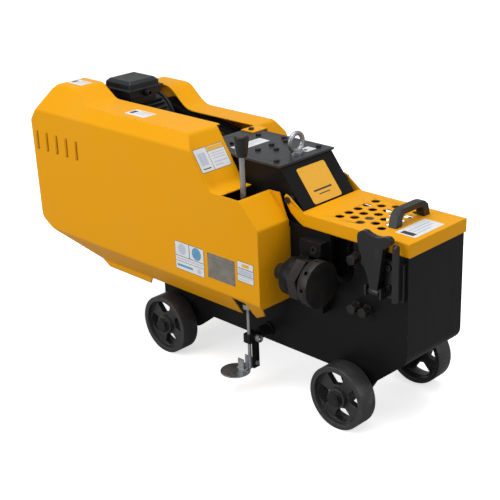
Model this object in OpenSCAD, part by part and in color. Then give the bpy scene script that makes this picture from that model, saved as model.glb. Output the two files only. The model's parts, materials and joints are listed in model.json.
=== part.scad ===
// Electric rebar cutter on four wheels: a crank drives a slider with a shear blade towards a fixed blade.
// +X points to the cutting end, +Y to the belt side, +Z up. The floor is z = 0.

/* [Frame] */
// Outer width of the cutter frame
frame_w = 208; // [204:1:212]
// Wall thickness of the frame
wall = 12; // [10:1:13]
// Height of the frame's underside above the floor
frame_z = 116; // [110:1:120]
// Height of the frame's top face
deck_z = 455; // [455:1:456]
// Front face of the frame
front_x = 612; // [606:1:613]
// Height of the gear housing's top
housing_z = 580; // [570:1:582]

/* [Wheels] */
// Radius of the cast wheels
wheel_r = 80; // [76:1:80]
// Width of a wheel
wheel_w = 50; // [40:1:51]
// Distance from the middle plane to a wheel's outer face
track = 175; // [173:1:178]
// Front axle position
front_axle_x = 460; // [450:1:470]
// Rear axle position
rear_axle_x = -150; // [-158:1:-145]

/* [Covers] */
// Distance from the middle plane to the side covers' outer faces
cover_y = 215; // [214:0.5:217]
// Height of the near cover's flat top
near_top_z = 652; // [640:1:656]
// Height of the far cover's flat top
far_top_z = 587; // [585:1:592]
// Sheet thickness of the guards
sheet = 2.5; // [2:0.25:3]

/* [Cutting] */
// Width of the U-shaped jaw slot
slot_w = 70; // [60:1:70]
// Throw of the crank
throw = 20; // [16:1:20]
// Perforation diameter in the safety cover
perforation_d = 21; // [14:1:24]

/* [Gears] */
// Module of the second reduction
module_2 = 5; // [5:1:5]
// Module of the first reduction
module_1 = 4; // [4:1:4]
// Tooth backlash
backlash = 0.6; // [0.4:0.1:0.9]

/* [Hidden] */
$fn = 48;

// The machine's middle plane is moved sideways so that the origin is centred under the whole machine
mid_y = 15;
half_w = frame_w / 2;
run = 0.06;                                  // radial clearance of a running fit
gap = 0.3;                                   // gap between pieces that only face each other
crank_x = 150;
crank_z = 390;
teeth_big = 56;
teeth_pinion_2 = 17;
teeth_first = 52;
teeth_pinion_1 = 17;
dist_2 = module_2 * (teeth_big + teeth_pinion_2) / 2;
dist_1 = module_1 * (teeth_first + teeth_pinion_1) / 2;
shaft2_x = crank_x - 177;
shaft2_z = crank_z - sqrt(pow(dist_2, 2) - pow(177, 2));
shaft1_x = shaft2_x - 132;
shaft1_z = shaft2_z + sqrt(pow(dist_1, 2) - pow(132, 2));
mesh_2 = atan2(crank_z - shaft2_z, crank_x - shaft2_x);
mesh_1 = atan2(shaft2_z - shaft1_z, shaft2_x - shaft1_x);
shaft_r = 20;
crank_r = 25;
flywheel_r = 155;
motor_x = -445;
motor_z = 545;
motor_pulley_r = 50;
rotor_r = 14;
belt_ys = [128, 145, 162];
groove = 9;                                  // depth of the belt grooves
slot_x = 422;
slot_z = 379;
lever_x = 181;
lever_y = -175;
pivot_y = -159;
pivot_z = 146;
shift_x = lever_x - 3;
shift_z = 236;
stop_y = -164;
stop_z = 354;
hinge_x = 258;
hinge_z = 511;
hinge_r = 5;
cover_top_z = 488.6;
cover_low_z = 456;
latch_y = -129;
latch_z = 364;
guide_z0 = 338;
guide_z1 = 442.5;
guide_half = 45.5;
fixed_face_x = slot_x + 24;
moving_face_x = fixed_face_x + 2 - 2 * throw;
rod_length = 190;

module at_frame() {
    translate([0, mid_y, 0]) children();
}

module ycyl(r, y0, y1, x, z) {
    translate([x, y0, z]) rotate([-90, 0, 0]) cylinder(r = r, h = y1 - y0);
}

module xcyl(r, x0, x1, y, z) {
    translate([x0, y, z]) rotate([0, 90, 0]) cylinder(r = r, h = x1 - x0);
}

module zcyl(r, z0, z1, x, y) {
    translate([x, y, z0]) cylinder(r = r, h = z1 - z0);
}

module box(x0, x1, y0, y1, z0, z1) {
    translate([x0, y0, z0]) cube([x1 - x0, y1 - y0, z1 - z0]);
}

// An outline in X and Z, extruded along Y
module side_plate(points, y0, y1) {
    translate([0, y1, 0]) rotate([90, 0, 0]) linear_extrude(y1 - y0) polygon(points);
}

// An outline in Y and Z, extruded along X
module cross_plate(points, x0, x1) {
    translate([x0, 0, 0]) rotate([90, 0, 90]) linear_extrude(x1 - x0) polygon(points);
}

// Hexagon prism along Y; af is the width across flats
module yhex(af, y0, y1, x, z, turn = 0) {
    translate([x, y0, z]) rotate([-90, 0, 0]) rotate(turn) cylinder(r = af / sqrt(3), h = y1 - y0, $fn = 6);
}

module xhex(af, x0, x1, y, z, turn = 0) {
    translate([x0, y, z]) rotate([0, 90, 0]) rotate(turn) cylinder(r = af / sqrt(3), h = x1 - x0, $fn = 6);
}

// ---------------------------------------------------------------- gears

function involute_turn(rb, r) = r <= rb ? 0 : (sqrt(pow(r / rb, 2) - 1) * 180 / PI - acos(rb / r));

// Half the angle that a tooth spans at radius r, for z teeth of module m
function half_tooth(m, z, r) = let (rp = m * z / 2, rb = rp * cos(20))
    90 / z - backlash / 4 / rp * 180 / PI + involute_turn(rb, rp) - involute_turn(rb, r);

function polar(r, a) = [r * cos(a), r * sin(a)];

function gear_points(m, z) = let (
        rp = m * z / 2,
        radii = [rp - 1.25 * m, rp - 0.62 * m, rp, rp + 0.5 * m, rp + 0.97 * m]
    )
    [for (i = [0:z - 1]) each concat(
        [for (r = radii) polar(r, i * 360 / z - half_tooth(m, z, r))],
        [for (k = [len(radii) - 1:-1:0]) polar(radii[k], i * 360 / z + half_tooth(m, z, radii[k]))]
    )];

// Spur gear along Y; phase is the angle, up from +X, of one tooth's middle
module spur_gear(m, z, y0, y1, x, gz, phase) {
    translate([x, y1, gz]) rotate([90, 0, 0]) rotate(phase) linear_extrude(y1 - y0) polygon(gear_points(m, z));
}

// ---------------------------------------------------------------- frame

module main_frame() color("#1c1d1f") {
    inner = half_w - wall;
    under_deck = deck_z - wall;
    opening = 80;                            // half width of the deck's opening under the gear housing
    pedestal = 60;                           // half width of the block that holds the slider's guide
    difference() {
        side_plate(rounded([[-220, frame_z], [520, frame_z], [front_x, 195], [front_x, deck_z],
                            [-50.5, deck_z], [-50.5, deck_z + 10], [-220, deck_z + 10]],
                           [8, 20, 34, 0, 0, 0, 0], 5), -half_w, half_w);
        // gear chamber, and the deck's opening above it
        box(-208, 300, -inner, inner, frame_z + wall, under_deck);
        box(-208, -55, -inner, inner, under_deck - 1, deck_z);
        box(-56, 289, -opening, opening, under_deck - 1, deck_z + 1);
        // hollow under the slider and the cutting chamber
        side_plate([[299, frame_z + wall], [515, frame_z + wall], [600, 201], [600, 300], [299, 300]],
                   -inner, inner);
        for (s = [-1, 1])
            side_plate([[299, 299], [386.5, 299], [386.5, under_deck], [299, under_deck]],
                       s > 0 ? pedestal : -inner, s > 0 ? inner : -pedestal);
        // cutting chamber, open at the top
        box(386, 476, -inner, inner, guide_z0, deck_z + 1);
        // guide for the slider, and the recess for its cap
        box(283, 387, -guide_half, guide_half, guide_z0, deck_z + 1);
        box(300, 387, -pedestal, pedestal, guide_z1, deck_z + 1);
        for (p = cap_screw_spots) zcyl(4, guide_z1 - 20, guide_z1 + 1, p[0], p[1]);
        // jaw slot through both walls
        ycyl(slot_w / 2, -half_w - 1, half_w + 1, slot_x, slot_z);
        box(slot_x - slot_w / 2, slot_x + slot_w / 2, -half_w - 1, half_w + 1, slot_z, deck_z + 1);
        // bearing bores
        ycyl(36, -half_w - 1, half_w + 1, crank_x, crank_z);
        ycyl(28, -half_w - 1, half_w + 1, shaft2_x, shaft2_z);
        ycyl(28, -half_w - 1, half_w + 1, shaft1_x, shaft1_z);
        // guide of the shift rod
        ycyl(8 + run, -half_w - 1, -inner + 1, shift_x, shift_z);
        // holes for the screws in the near side
        for (p = stop_screw_spots) ycyl(6, -half_w - 1, -inner + 1, p[0], p[1]);
        for (p = latch_screw_spots) ycyl(4, -half_w - 1, -inner + 1, p[0], p[1]);
        for (p = side_bolt_spots) ycyl(8, -half_w - 1, -half_w + 9, p[0], p[1]);
        for (z = blade_screw_zs) xcyl(6, 475, 500, -12.5, z);
        // chute under the blades for scale and offcuts
        box(400, 440, -30, 30, 299, guide_z0 + 1);
    }
}

stop_screw_spots = [[358, 417], [368, 280]];
latch_screw_spots = [[567, 424], [567, 376]];
cap_screw_spots = [for (x = [316, 370], y = [-53, 53]) [x, y]];
// The upper front screw stands out less, to clear the latch
side_bolt_spots = [[470, 299, 28], [503, 299, 28], [470, 421, 28], [503, 421, 17]];
blade_screw_zs = [365, 405];

module gear_housing() color("#202124") {
    difference() {
        side_plate([[-62, deck_z + 10], [-50.5, deck_z + 10], [-50.5, deck_z], [294, deck_z], [294, 489],
                    [222, housing_z], [-62, housing_z]], -92, 92);
        side_plate([[-52, deck_z - 1], [284, deck_z - 1], [284, 486], [214.5, housing_z - 8],
                    [-52, housing_z - 8]], -82, 82);
        box(-34, 176, -64, 64, housing_z - 9, housing_z + 1);
        for (p = plate_bolt_spots) zcyl(4, housing_z - 9, housing_z + 1, p[0], p[1]);
        for (s = [-1, 1]) ycyl(hinge_r, s * 87 - 6, s * 87 + 6, hinge_x, hinge_z);
        // the eye bolt's boss
        zcyl(20.5, housing_z - 9, housing_z + 1, eye_x, 0);
    }
}

eye_x = 190;
plate_z = housing_z + 6;
tab_bolt = [-40, 76];
plate_bolt_spots = [[-40, -76], [78, -76], [195, -76], [195, 76], [78, 76]];
// Short screws in the middle of the plate
plate_screw_spots = [[6, 56], [6, -38], [96, -38], [101, 58], [94, 13], [129, -7]];

module top_plate() color("#6d7076") {
    difference() {
        union() {
            box(-62, 226, -99, 99, housing_z, plate_z);
            zcyl(20, housing_z - 14, housing_z + 1, eye_x, 0);
        }
        for (p = plate_bolt_spots) zcyl(4, housing_z - 1, plate_z + 1, p[0], p[1]);
        for (p = plate_screw_spots) zcyl(4, housing_z - 1, plate_z + 1, p[0], p[1]);
        zcyl(8, housing_z - 15, plate_z + 1, eye_x, 0);
        zcyl(4, housing_z - 1, plate_z + 1, tab_bolt[0], tab_bolt[1]);
    }
}

// Hexagon bolts that hold the top plate, and the one through the far cover's tab
module top_plate_bolts() color("#2b2c2f") {
    for (p = plate_bolt_spots) plate_bolt(p, housing_z - 8, plate_z);
    for (p = plate_screw_spots) plate_bolt(p, housing_z, plate_z);
    plate_bolt(tab_bolt, housing_z, plate_z + sheet);
}

module plate_bolt(p, z_end, z_seat) {
    zcyl(4, z_end, z_seat + 1, p[0], p[1]);
    translate([p[0], p[1], z_seat]) cylinder(r = 13 / sqrt(3), h = 5.3, $fn = 6);
}

// Lifting eye: shank, collar and ring in the plane across the machine
module eye_bolt() color("#b9bcc0") {
    ring_z = plate_z + 29;
    zcyl(8, housing_z - 13, plate_z + 1, eye_x, 0);
    zcyl(17, plate_z, plate_z + 7, eye_x, 0);
    translate([eye_x, 0, ring_z]) rotate([0, 90, 0]) rotate_extrude() translate([22.5, 0]) circle(r = 6);
}

// ---------------------------------------------------------------- guards

function cross_point(a, da, b, db) = a + da * cross(b - a, db) / cross(da, db);

// The outline moved inwards, edge by edge, by the given steps; its points run anticlockwise
function inset(points, steps) = let (
        n = len(points),
        dirs = [for (i = [0:n - 1]) (points[(i + 1) % n] - points[i]) / norm(points[(i + 1) % n] - points[i])],
        starts = [for (i = [0:n - 1]) points[i] + steps[i] * [-dirs[i][1], dirs[i][0]]]
    )
    [for (i = [0:n - 1]) let (j = (i + n - 1) % n) cross_point(starts[j], dirs[j], starts[i], dirs[i])];

// The corner at b turned into an arc of radius r, in n chords
function arc_corner(a, b, c, r, n) = let (
        u = (a - b) / norm(a - b),
        v = (c - b) / norm(c - b),
        half = acos(u * v) / 2,
        centre = b + (u + v) / norm(u + v) * r / sin(half),
        first = b + u * r / tan(half) - centre,
        last = b + v * r / tan(half) - centre,
        turn = sign(cross(first, last)) * (180 - 2 * half)
    )
    [for (k = [0:n]) let (t = turn * k / n)
        centre + [first[0] * cos(t) - first[1] * sin(t), first[0] * sin(t) + first[1] * cos(t)]];

// The outline with its folds rounded; a radius of 0 leaves a corner sharp
function rounded(points, radii, n) = let (m = len(points))
    [for (i = [0:m - 1]) each radii[i] == 0 ? [points[i]]
        : arc_corner(points[(i + m - 1) % m], points[i], points[(i + 1) % m], radii[i], n)];

// The steps of a rounded outline: each chord of a fold has its corner's step
function fold_steps(steps, radii, n) =
    [for (i = [0:len(steps) - 1]) each [for (k = [0:radii[i] == 0 ? 0 : n]) steps[i]]];

// A folded sheet guard: the sheets along a side outline, within a cross-section, and the sheets along
// the cross-section, within the side outline. A negative step leaves that edge open.
module guard_shell(side, side_steps, section, section_steps) {
    reach = 260;
    intersection() {
        difference() {
            side_plate(side, -reach, reach);
            side_plate(inset(side, side_steps), -reach - 1, reach + 1);
        }
        cross_plate(section, -700, 400);
    }
    intersection() {
        side_plate(side, -reach, reach);
        difference() {
            cross_plate(section, -700, 400);
            cross_plate(inset(section, section_steps), -750, 450);
        }
    }
}

open = -40;

module near_cover() color("#e9b321") {
    t = sheet;
    top = near_top_z;
    outer = -cover_y;
    side = [[-611, 297], [-401, 175], [-222, 175], [-215, 192], [178, 192], [240, 228], [261, 262], [261, 463],
            [200, 525], [102, 525], [18, top], [-385, top], [-440, top + 38], [-525, top + 38],
            [-545, top + 24], [-616, 585]];
    side_steps = [t, open, open, open, open, open, t, t, t, t, t, t, t, t, t, t];
    side_folds = [22, 0, 0, 0, 0, 0, 0, 10, 12, 26, 16, 35, 30, 12, 30, 14];
    section = [[-88, 160], [-88, top + 38], [-174, top + 38], [-195, top], [outer, 616], [outer, 270], [-150, 192],
               [-150, 160]];
    section_steps = [open, t, t, t, t, t, t, open];
    section_folds = [0, 0, 12, 0, 16, 14, 0, 0];
    difference() {
        union() {
            guard_shell(rounded(side, side_folds, 3), fold_steps(side_steps, side_folds, 3),
                        rounded(section, section_folds, 3), fold_steps(section_steps, section_folds, 3));
            // flanges to the frame and to the motor bed
            box(236, 261, -half_w - t, -half_w, 270, 440);
            box(-190, -190 + t, outer + 1, -half_w, 300, 420);
            box(-540, -540 + t, outer + 1, -100, 380, 430);
            // ear beside the slanted top
            side_plate([[198, 522], [198, 525], [234, 526], [257, 466], [257, 460], [236, 482]], -109.5, -107.5);
        }
        // room for the frame, the gear housing and the safety cover's arm
        box(-221, 300, -half_w, -60, 100, 480);
        side_plate([[18, top + 5], [14, top - 8], [100, 514], [300, 514], [300, top + 5]], -100, -60);
        box(103, 300, -107.5, -60, 445, 530);
        // opening for the lever in the top
        box(139, 197, -211.5, -60, 500, 560);
        // notch for the lever in the lower bevel
        side_plate([[118, 150], [160, 266], [200, 259], [196, 236], [188, 214], [184, 150]], -214, -60);
        // louvre slits in the rear
        for (i = [0:4]) box(-592 + i * 44, -589 + i * 44, outer - 1, outer + t + 1, 503, 556);
    }
}

module far_cover() color("#e9b321") {
    t = sheet;
    top = far_top_z;
    side = [[-611, 297], [-401, 175], [-222, 175], [-215, 192], [80, 192], [120, 258], [120, 440], [5, 440],
            [-64, top], [-330, top], [-400, top + 58], [-500, top + 58], [-520, top + 45], [-575, top], [-616, 520]];
    side_steps = [t, open, open, open, open, t, t, t, t, t, t, t, t, t, t];
    side_folds = [22, 0, 0, 0, 0, 0, 10, 20, 12, 60, 60, 15, 40, 30, 14];
    section = [[113, 160], [150, 160], [150, 192], [cover_y, 270], [cover_y, 550], [187, top], [187, top + 58],
               [113, top + 58]];
    section_steps = [open, t, t, t, t, t, t, open];
    section_folds = [0, 0, 0, 14, 14, 12, 10, 0];
    difference() {
        union() {
            guard_shell(rounded(side, side_folds, 3), fold_steps(side_steps, side_folds, 3),
                        rounded(section, section_folds, 3), fold_steps(section_steps, section_folds, 3));
            // tab on the top plate, with its riser
            box(-62, -18, 60, 115, plate_z, plate_z + t);
            box(-62, -18, 113, 113 + t, top - 60, plate_z + t);
            // flanges to the frame and to the motor bed
            box(40, 40 + t, half_w, cover_y - 1, 300, 420);
            box(-560, -560 + t, 100, cover_y - 1, 380, 430);
        }
        zcyl(4, plate_z - 1, plate_z + t + 1, tab_bolt[0], tab_bolt[1]);
    }
}

// ---------------------------------------------------------------- motor and belts

module motor_bed() color("#1c1d1f") {
    box(-560, -220, -100, 100, 435, 445);
    for (s = [-1, 1]) box(-560, -220, s * 96 - 4, s * 96 + 4, 375, 435);
    for (s = [-1, 1]) side_plate([[-220, 260], [-220, 375], [-470, 375]], s * 96 - 4, s * 96 + 4);
    box(-230, -220, -92, 92, 260, 435);
}

module motor_frame() color("#1d1f22") {
    fins = 40;
    difference() {
        union() {
            ycyl(82, -78, 90, motor_x, motor_z);
            for (i = [0:fins - 1]) let (a = i * 360 / fins)
                if (abs(a - 90) > 32 && abs(a - 270) > 32)
                    translate([motor_x, -68, motor_z]) rotate([0, -a, 0]) translate([78, 0, -1.5]) cube([17, 146, 3]);
            // foot, and the seat of the terminal box
            box(motor_x - 80, motor_x + 80, -60, 70, 445, 459);
            box(motor_x - 42, motor_x + 42, -60, 70, 452, 500);
            box(motor_x - 38, motor_x + 52, -34, 56, 610, 640);
        }
        ycyl(74, -79, 91, motor_x, motor_z);
    }
}

module motor_stator() color("#6d4a2a") {
    difference() {
        union() {
            ycyl(74, -55, 66, motor_x, motor_z);
            ycyl(68, -70, 80, motor_x, motor_z);
        }
        ycyl(48, -71, 81, motor_x, motor_z);
    }
}

module motor_fan_cowl() color("#1d1f22") {
    difference() {
        ycyl(97, -168, -78, motor_x, motor_z);
        ycyl(94.5, -165.5, -77, motor_x, motor_z);
        for (ring = [[30, 8], [50, 12], [70, 18]], i = [0:ring[1] - 1])
            let (a = i * 360 / ring[1])
                ycyl(5.5, -170, -164, motor_x + ring[0] * cos(a), motor_z + ring[0] * sin(a));
        ycyl(12, -170, -164, motor_x, motor_z);
    }
}

module motor_end_shield() color("#1d1f22") {
    difference() {
        union() {
            ycyl(88, 90, 98, motor_x, motor_z);
            ycyl(40, 98, 108, motor_x, motor_z);
        }
        ycyl(rotor_r + run, 89, 109, motor_x, motor_z);
    }
}

module terminal_box() color("#232528") {
    difference() {
        box(motor_x - 48, motor_x + 62, -44, 66, 640, 660);
        box(motor_x - 44, motor_x + 58, -40, 62, 643, 661);
        xcyl(8, motor_x + 57, motor_x + 63, 11, 650);
    }
}

module terminal_lid() color("#33363a") {
    box(motor_x - 55, motor_x + 69, -51, 73, 660, 664);
    intersection() {
        side_plate([[motor_x - 46, 663], [motor_x + 60, 663], [motor_x + 59, 677], [motor_x + 51, 685],
                    [motor_x - 37, 685], [motor_x - 45, 677]], -42, 64);
        cross_plate([[-42, 663], [64, 663], [63, 677], [55, 685], [-33, 685], [-41, 677]],
                    motor_x - 46, motor_x + 60);
    }
}

// Screwed gland for the supply cord, open from end to end
module cable_gland() color("#3a3c40") {
    difference() {
        union() {
            xcyl(8, motor_x + 58, motor_x + 62, 11, 650);
            xhex(17, motor_x + 62, motor_x + 70, 11, 650);
            xcyl(8.5, motor_x + 70, motor_x + 82, 11, 650);
        }
        xcyl(5, motor_x + 57, motor_x + 83, 11, 650);
    }
}

// Outline round both pulleys at a given height above the groove bottoms
module belt_outline(up) {
    hull() {
        translate([motor_x, motor_z]) circle(r = motor_pulley_r - groove + up);
        translate([shaft1_x, shaft1_z]) circle(r = flywheel_r - groove + up);
    }
}

module v_belts() color("#17181a") {
    for (y = belt_ys)
        translate([0, y + 4.2, 0]) rotate([90, 0, 0]) linear_extrude(8.4) difference() {
            belt_outline(groove + 0.5);
            belt_outline(0.6);
        }
}

// Grooved rim section of a belt pulley, as an outline in radius and Y
function pulley_rim(r, r0) = concat(
    [[r0, 118], [r, 118]],
    [for (y = belt_ys) each [[r, y - 6.5], [r - groove, y - 4.8], [r - groove, y + 4.8], [r, y + 6.5]]],
    [[r, 172], [r0, 172]]);

module flywheel_pulley() color("#2a2c2f") {
    difference() {
        union() {
            translate([shaft1_x, 0, shaft1_z]) rotate([-90, 0, 0]) rotate_extrude()
                polygon(pulley_rim(flywheel_r, flywheel_r - 27));
            ycyl(flywheel_r - 26, 138, 150, shaft1_x, shaft1_z);
            ycyl(36, 122, 170, shaft1_x, shaft1_z);
        }
        ycyl(shaft_r, 121, 171, shaft1_x, shaft1_z);
        for (a = [0:60:300]) ycyl(25, 137, 151, shaft1_x + 83 * cos(a), shaft1_z + 83 * sin(a));
    }
}

module input_shaft() color("#8d9196") {
    ycyl(shaft_r, -104, 172, shaft1_x, shaft1_z);
    spur_gear(module_1, teeth_pinion_1, 43, 77, shaft1_x, shaft1_z, mesh_1);
    ycyl(25, -79, 43, shaft1_x, shaft1_z);
    ycyl(28, 104.5, 122, shaft1_x, shaft1_z);
    yhex(46, 170, 184, shaft1_x, shaft1_z);
}

module intermediate_gear() color("#7f8388") {
    difference() {
        spur_gear(module_1, teeth_first, 45, 75, shaft2_x, shaft2_z, mesh_1 + 180 + 180 / teeth_first);
        ycyl(30, 44, 76, shaft2_x, shaft2_z);
        for (a = [0:60:300]) ycyl(17, 44, 76, shaft2_x + 66 * cos(a), shaft2_z + 66 * sin(a));
    }
}

module intermediate_shaft() color("#8d9196") {
    ycyl(shaft_r, -104, 104, shaft2_x, shaft2_z);
    ycyl(30, 45, 75, shaft2_x, shaft2_z);
    ycyl(26, 75, 79, shaft2_x, shaft2_z);
    ycyl(26, -48, 45, shaft2_x, shaft2_z);
    spur_gear(module_2, teeth_pinion_2, -79, -48, shaft2_x, shaft2_z, mesh_2);
}

module drive_gear() color("#7f8388") {
    difference() {
        union() {
            spur_gear(module_2, teeth_big, -78, -54, crank_x, crank_z, mesh_2 + 180 + 180 / teeth_big);
            clutch_jaws(-54.5, -50, 0, 50);
        }
        ycyl(crank_r + run, -90, -20, crank_x, crank_z);
        for (a = [0:60:300]) ycyl(20, -79, -53, crank_x + 92 * cos(a), crank_z + 92 * sin(a));
    }
}

// Three jaws in a ring round the crankshaft
module clutch_jaws(y0, y1, turn, span) {
    for (a = [0:120:240])
        intersection() {
            ycyl(46, y0, y1, crank_x, crank_z);
            translate([crank_x, y1, crank_z]) rotate([90, 0, 0]) rotate(a + turn) linear_extrude(y1 - y0)
                polygon([[0, 0], polar(80, -span / 2), polar(90, 0), polar(80, span / 2)]);
        }
}

module clutch_sleeve() color("#9a9da1") {
    difference() {
        union() {
            clutch_jaws(-43.2, -35.5, 60, 50);
            difference() {
                ycyl(46, -36, -23, crank_x, crank_z);
                difference() {
                    ycyl(48, -32.2, -26.8, crank_x, crank_z);
                    ycyl(38, -33, -26, crank_x, crank_z);
                }
            }
        }
        ycyl(crank_r + run, -60, -20, crank_x, crank_z);
    }
}

module crankshaft() color("#8d9196") {
    ycyl(crank_r, -112, -20, crank_x, crank_z);
    ycyl(crank_r, 20, 112, crank_x, crank_z);
    ycyl(35, -20, 20, crank_x - throw, crank_z);
    ycyl(34, 22, 79, crank_x, crank_z);
}

module connecting_rod() color("#5f6266") {
    small_x = crank_x - throw + rod_length;
    difference() {
        union() {
            ycyl(50, -19.4, 19.4, crank_x - throw, crank_z);
            box(crank_x - throw + 40, small_x, -13, 13, crank_z - 15, crank_z + 15);
            ycyl(18, -19.4, 19.4, small_x, crank_z);
        }
        ycyl(35 + run, -21, 21, crank_x - throw, crank_z);
        ycyl(10, -21, 21, small_x, crank_z);
    }
}

module wrist_pin() color("#b9bcc0") {
    ycyl(10, -20.5, 20.5, crank_x - throw + rod_length, crank_z);
}

// ---------------------------------------------------------------- slider and blades

module slider() color("#5f6266") {
    difference() {
        box(290, moving_face_x - 16, -45.2, 45.2, guide_z0 + gap, guide_z1 - gap);
        box(289, 380, -21.5, 21.5, crank_z - 40, crank_z + 40);
    }
}

module moving_blade() color("#a8abaf") {
    difference() {
        box(moving_face_x - 16, moving_face_x, 0.4, 25, 350, 428);
        for (z = [368, 410]) xcyl(5.5, moving_face_x - 17, moving_face_x + 1, 12.7, z);
    }
    for (z = [368, 410]) xcyl(5.5, moving_face_x - 16, moving_face_x - 3, 12.7, z);
}

module fixed_blade() color("#a8abaf") {
    difference() {
        box(fixed_face_x, 476, -25, -0.1, 345, 425);
        for (z = blade_screw_zs) xcyl(6, fixed_face_x - 1, 477, -12.5, z);
        for (z = blade_screw_zs) xcyl(10, fixed_face_x - 1, fixed_face_x + 11, -12.5, z);
    }
}

module slide_cap() color("#33363a") {
    difference() {
        box(300, 386, -60, 60, guide_z1, deck_z);
        for (p = cap_screw_spots) zcyl(4, guide_z1 - 1, deck_z + 1, p[0], p[1]);
        for (p = cap_screw_spots) zcyl(7, guide_z1 + 4, deck_z + 1, p[0], p[1]);
    }
}

// Plain bushes in the frame's side walls
module shaft_bushes() color("#b08d4a") {
    for (s = [-1, 1]) {
        bush(crank_x, crank_z, 36, crank_r, s);
        bush(shaft2_x, shaft2_z, 28, shaft_r, s);
        bush(shaft1_x, shaft1_z, 28, shaft_r, s);
    }
}

module bush(x, z, r_out, r_in, side) {
    y0 = side > 0 ? 80 : -104;
    difference() {
        ycyl(r_out, y0, y0 + 24, x, z);
        ycyl(r_in + run, y0 - 1, y0 + 25, x, z);
    }
}

// ---------------------------------------------------------------- near side fittings

// Clamping screws of the blade block with their lock nuts
module side_bolts() color("#2f3134") {
    for (p = side_bolt_spots) {
        end = -half_w - p[2];
        ycyl(8, end + 1, -half_w + 8, p[0], p[1]);
        yhex(26, -half_w - 9, -half_w, p[0], p[1], 10);
        yhex(22, end, end + 15, p[0], p[1], 35);
    }
}

module stop_bracket() color("#202124") {
    difference() {
        union() {
            side_plate([[316, 437], [381, 437], [381, 395], [372, 388], [372, 320], [386, 300], [386, 262], [350, 262],
                        [330, 300], [316, 310]], -132, -half_w);
            xcyl(46, 318, 345, stop_y, stop_z);
            box(318, 345, -150, -half_w, stop_z - 40, stop_z + 40);
        }
        xcyl(20 + run, 310, 350, stop_y, stop_z);
        for (p = stop_screw_spots) {
            ycyl(6, -140, -100, p[0], p[1]);
            ycyl(11, -140, -122, p[0], p[1]);
        }
        // room for the lock nut and the disc
        xcyl(56, 345.5, 375, stop_y, stop_z);
        xcyl(60, 374, 420, stop_y, stop_z);
    }
}

// Socket head screws, identical in kind, of the stop bracket, latch base, slide cap and fixed blade
module socket_screws() color("#3a3c40") {
    for (p = stop_screw_spots) translate([p[0], -122, p[1]]) rotate([90, 0, 0]) socket_screw(6, 28, 10);
    for (p = latch_screw_spots) translate([p[0], -112, p[1]]) rotate([90, 0, 0]) socket_screw(4, 20, 7);
    for (p = cap_screw_spots) translate([p[0], p[1], guide_z1 + 4]) socket_screw(4, 22, 7);
    for (z = blade_screw_zs) translate([fixed_face_x + 11, -12.5, z]) rotate([0, -90, 0]) socket_screw(6, 34, 9);
}

// Screw with its head's seat at z = 0, its shank below and its head above
module socket_screw(r, shank, head) {
    translate([0, 0, -shank]) cylinder(r = r, h = shank + 1);
    difference() {
        cylinder(r = r * 1.6, h = head);
        translate([0, 0, head / 2]) cylinder(r = r * 0.92, h = head, $fn = 6);
    }
}

module stop_lock_nut() color("#33363a") {
    difference() {
        xhex(92, 346, 374, stop_y, stop_z, 12);
        xcyl(20 + run, 340, 380, stop_y, stop_z);
    }
}

// Screw with a broad disc that the bar bears on; holes in the rim take a tommy bar
module stop_screw() color("#3a3c40") {
    xcyl(20, 280, 387, stop_y, stop_z);
    difference() {
        xcyl(56, 386, 412, stop_y, stop_z);
        for (a = [0:45:315])
            translate([399, stop_y, stop_z]) rotate([a, 0, 0]) translate([0, 0, 36]) cylinder(r = 5, h = 30);
    }
}

module latch_base() color("#1b1c1e") {
    difference() {
        union() {
            box(522, 606, -115, -half_w, 350, 440);
            box(515, 530, -115, -half_w, 350, 384);
            box(590, 600, -134, -114, 352, 440);
            box(590, 600, -134, -120, 439, 481);
            xcyl(7, 590, 600, -127, 481);
            for (x = [515, 558]) box(x, x + 6, -139, -114, 353, 377);
        }
        for (p = latch_screw_spots) {
            ycyl(4, -120, -100, p[0], p[1]);
            ycyl(8, -125, -112, p[0], p[1]);
        }
        xcyl(4 + run, 510, 570, latch_y, latch_z);
    }
}

// Rubber draw strap with a flared grip, turning on a pin between the base's ears
module latch_strap() color("#232427") {
    side_plate([[530, 362], [549, 362], [554, 392], [566, 474], [578, 481], [587, 490], [587, 499], [580, 504],
                [570, 503], [556, 498], [542, 497], [528, 500], [516, 505], [506, 504], [496, 497], [493, 488],
                [494, 468], [524, 392]], -136, -122);
    xcyl(9, 525, 554, latch_y, latch_z);
    xcyl(4, 517, 563, latch_y, latch_z);
}

// Boss on the frame's side, with a tongue that the lever's clevis turns on
module lever_bracket() color("#1f2023") {
    difference() {
        union() {
            ycyl(15, -142, -half_w, lever_x - 3, pivot_z + 2);
            ycyl(19, -half_w - 6, -half_w, lever_x - 3, pivot_z + 2);
            box(lever_x - 10, lever_x - 1, pivot_y, -140, pivot_z - 10, pivot_z + 10);
            xcyl(10, lever_x - 10, lever_x - 1, pivot_y, pivot_z);
        }
        xcyl(5, lever_x - 11, lever_x, pivot_y, pivot_z);
    }
}

module lever_pin() color("#b9bcc0") {
    xcyl(5, lever_x - 18, lever_x + 7, pivot_y, pivot_z);
    xhex(14, lever_x - 21, lever_x - 17, pivot_y, pivot_z);
    xhex(14, lever_x + 6, lever_x + 10, pivot_y, pivot_z);
}

// ---------------------------------------------------------------- clutch lever

// Clevis round the tongue, with the flat bar that hangs down to the pedal
module pedal_arm() color("#1b1c1e") {
    difference() {
        union() {
            box(lever_x - 0.5, lever_x + 5.5, -170, -149, 62, pivot_z + 12);
            box(lever_x - 16.5, lever_x - 10.5, -182, -149, pivot_z - 12, pivot_z + 12);
            box(lever_x - 16.5, lever_x + 5.5, -182, -169.5, pivot_z - 12, pivot_z + 12);
        }
        xcyl(5 + run, lever_x - 20, lever_x + 10, pivot_y, pivot_z);
        zcyl(4.5, pivot_z - 20, pivot_z + 20, lever_x - 3, lever_y);
        xcyl(3.5, lever_x - 1, lever_x + 6, -160, 76);
    }
}

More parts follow.
